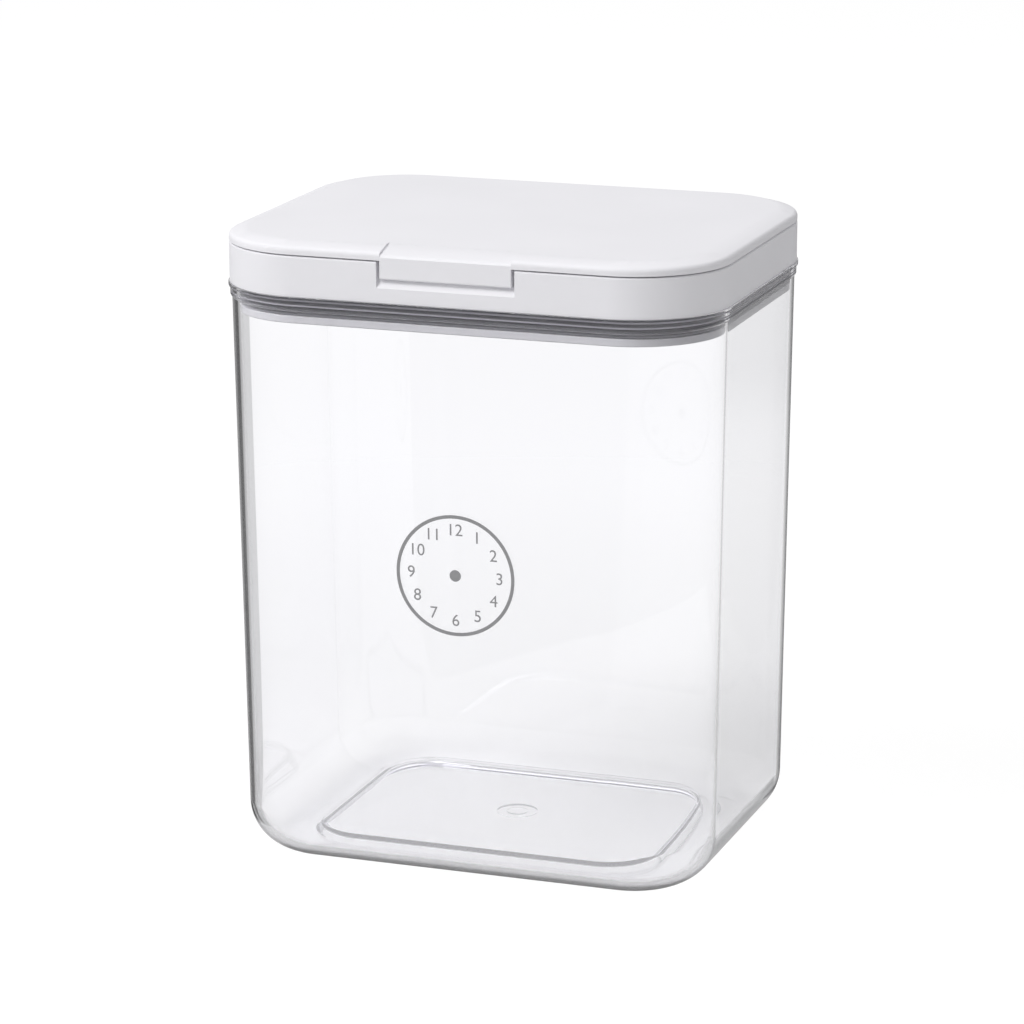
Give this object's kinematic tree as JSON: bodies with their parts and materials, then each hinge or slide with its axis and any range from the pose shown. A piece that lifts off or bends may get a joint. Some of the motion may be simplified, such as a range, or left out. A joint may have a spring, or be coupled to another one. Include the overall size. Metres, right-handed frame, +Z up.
{
  "type": "flour canister",
  "caption": "Clear tapered food canister with a white plug lid: a ribbed seal holds the lid in the rim, and a hinged flap with a lift tab covers the pouring mouth.",
  "frame": {"origin": "middle of the standing face under the bucket", "axes": "+Z up, front with the lift tab towards -Y, +X to the right seen from the front"},
  "size_m": [0.194, 0.154, 0.2413],
  "materials": {
    "clear_plastic": "clear, polished, uncoloured",
    "white_plastic": "white, satin",
    "grey_silicone": "soft grey silicone, satin",
    "pin_steel": "plain drawn steel"
  },
  "bodies": {
    "bucket": {"bucket": "clear_plastic"},
    "lid": {"lid_frame": "white_plastic", "plug_ring": "white_plastic", "plug_seal": "grey_silicone", "hinge_pin_left": "pin_steel", "hinge_pin_right": "pin_steel"},
    "flap": {"flap_cover": "white_plastic", "flap_liner": "white_plastic", "flap_seal": "grey_silicone"}
  },
  "joints": [
    {"name": "lid_lift", "type": "slide", "parent": "bucket", "child": "lid", "axis": [0, 0, 1], "range_m": [0, 0.06]},
    {"name": "flap_hinge", "type": "hinge", "parent": "lid", "child": "flap", "pos_m": [0, 0.0737, 0.23205], "axis": [-1, 0, 0], "range_deg": [0, 110]}
  ]
}
